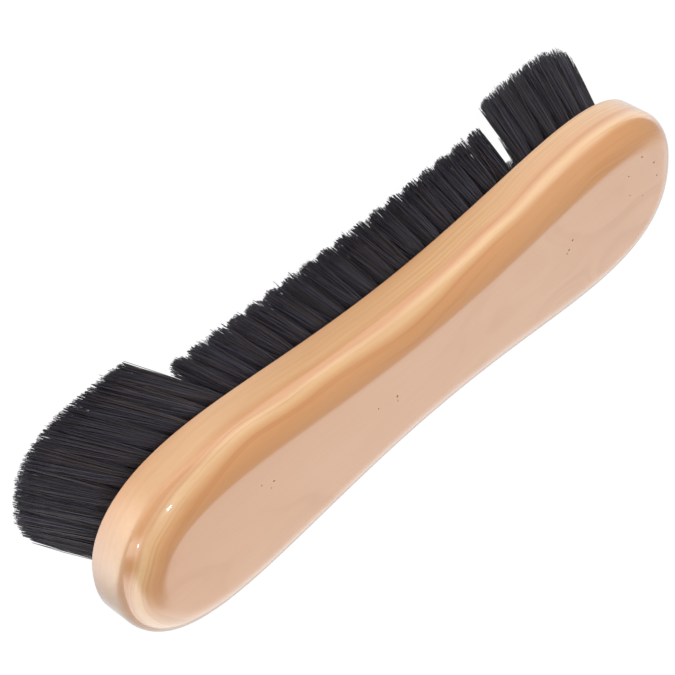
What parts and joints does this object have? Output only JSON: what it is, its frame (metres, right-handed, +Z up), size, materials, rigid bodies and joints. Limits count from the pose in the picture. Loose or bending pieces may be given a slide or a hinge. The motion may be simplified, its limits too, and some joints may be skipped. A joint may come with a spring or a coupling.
{
  "type": "clothes brush",
  "caption": "Hand brush with a waisted lacquered wood block and black bristle, trimmed longer at both ends than in the middle.",
  "frame": {"origin": "on the surface that the long end tufts stand on, under the middle of the block", "axes": "+Z up from the bristle to the flat back, +X along the block, -Y towards the side that is in view"},
  "size_m": [0.2351, 0.0614, 0.0457],
  "materials": {
    "lacquered_hardwood": "clear gloss lacquer over pale honey hardwood",
    "black_bristle": "black bristle with a soft sheen"
  },
  "bodies": {
    "root": {"wood_block": "lacquered_hardwood", "middle_row_1": "black_bristle", "middle_row_2": "black_bristle", "middle_row_3": "black_bristle", "middle_row_4": "black_bristle", "middle_row_5": "black_bristle", "left_end_ring_1": "black_bristle", "left_end_ring_2": "black_bristle", "left_end_ring_3": "black_bristle", "left_end_centre_row": "black_bristle", "right_end_ring_1": "black_bristle", "right_end_ring_2": "black_bristle", "right_end_ring_3": "black_bristle", "right_end_centre_row": "black_bristle"}
  },
  "joints": []
}
